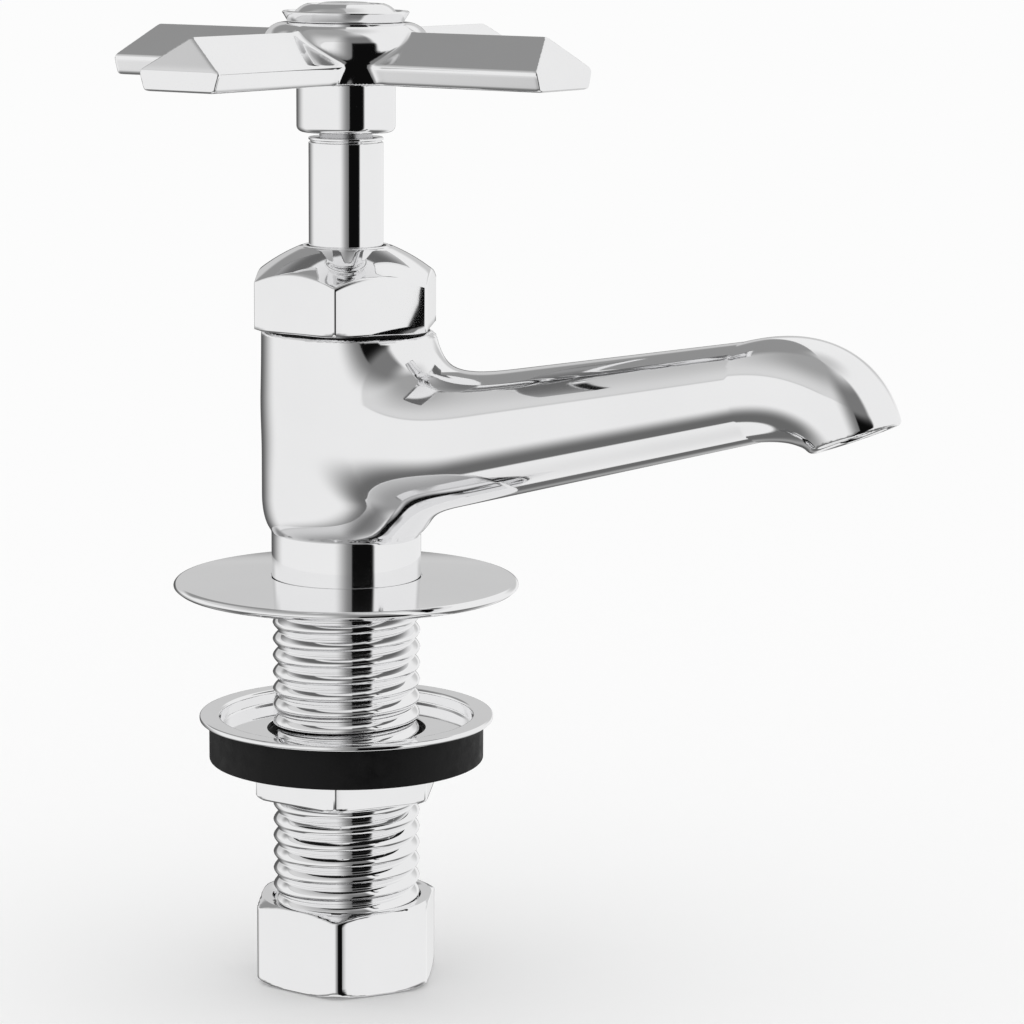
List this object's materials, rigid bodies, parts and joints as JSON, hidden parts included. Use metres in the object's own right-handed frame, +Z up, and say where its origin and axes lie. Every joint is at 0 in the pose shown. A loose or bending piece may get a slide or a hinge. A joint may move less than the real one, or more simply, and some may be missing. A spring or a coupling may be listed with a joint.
{
  "type": "pillar basin tap",
  "caption": "Deck-mounted pillar tap with a swept tubular spout, a four-armed handle, a round deck flange, and a threaded shank with clamp cup, rubber washer, locknut and coupling nut.",
  "frame": {"origin": "on the tap's upright axis at the underside of the deck flange", "axes": "+Z up along the stem and shank, +X along the spout"},
  "size_m": [0.1235, 0.0728, 0.1389],
  "materials": {
    "polished_chrome": "mirror-polished chrome plate",
    "black_rubber": "matte moulded rubber",
    "red_fibre": "pressed fibre, matte",
    "grey_nylon": "moulded nylon, satin",
    "plain_brass": "turned brass",
    "plain_steel": "turned stainless steel"
  },
  "bodies": {
    "tap_body": {"body": "polished_chrome", "spout": "polished_chrome", "shank": "polished_chrome", "shank_seal": "red_fibre", "flange": "polished_chrome", "valve_seat": "plain_brass", "bonnet_nut": "polished_chrome", "bonnet_gasket": "black_rubber", "gland_sleeve": "polished_chrome", "gland_bush": "polished_chrome"},
    "plunger": {"washer_holder": "plain_brass", "seat_washer": "black_rubber", "washer_screw": "plain_brass"},
    "spindle": {"stem": "plain_steel", "stem_clip": "plain_steel", "thrust_washer": "grey_nylon", "lower_oring": "black_rubber", "upper_oring": "black_rubber", "cross_handle": "polished_chrome", "screw_washer": "plain_steel", "handle_screw": "plain_steel", "cap_ring": "polished_chrome", "index_button": "polished_chrome"},
    "clamp_set": {"clamp_cup": "polished_chrome", "rubber_washer": "black_rubber"},
    "locknut_body": {"locknut": "polished_chrome"},
    "tail_washer": {"coupling_washer": "red_fibre"},
    "tail_nut": {"coupling_nut": "polished_chrome"}
  },
  "joints": [
    {"name": "stem_lift", "type": "slide", "parent": "tap_body", "child": "plunger", "axis": [0, 0, 1], "range_m": [0, 0.00385]},
    {"name": "handle_turn", "type": "hinge", "parent": "plunger", "child": "spindle", "pos_m": [0, 0, 0.075], "axis": [0, 0, 1], "range_deg": [0, 540]},
    {"name": "clamp_slide", "type": "slide", "parent": "tap_body", "child": "clamp_set", "axis": [0, 0, 1], "range_m": [-0.0145, 0.0175]},
    {"name": "locknut_turn", "type": "hinge", "parent": "clamp_set", "child": "locknut_body", "pos_m": [0, 0, -0.027], "axis": [0, 0, 1], "range_deg": [-2100, 2520]},
    {"name": "tail_slide", "type": "slide", "parent": "tap_body", "child": "tail_washer", "axis": [0, 0, 1], "range_m": [-0.0082, 0]},
    {"name": "coupling_nut_turn", "type": "hinge", "parent": "tail_washer", "child": "tail_nut", "pos_m": [0, 0, -0.05], "axis": [0, 0, 1], "range_deg": [-1080, 0]}
  ],
  "couplings": [
    {"joint": "stem_lift", "follows": "handle_turn", "m_per_rad": 0.00040425},
    {"joint": "clamp_slide", "follows": "locknut_turn", "m_per_rad": 0.00038197},
    {"joint": "tail_slide", "follows": "coupling_nut_turn", "m_per_rad": 0.00038197}
  ]
}
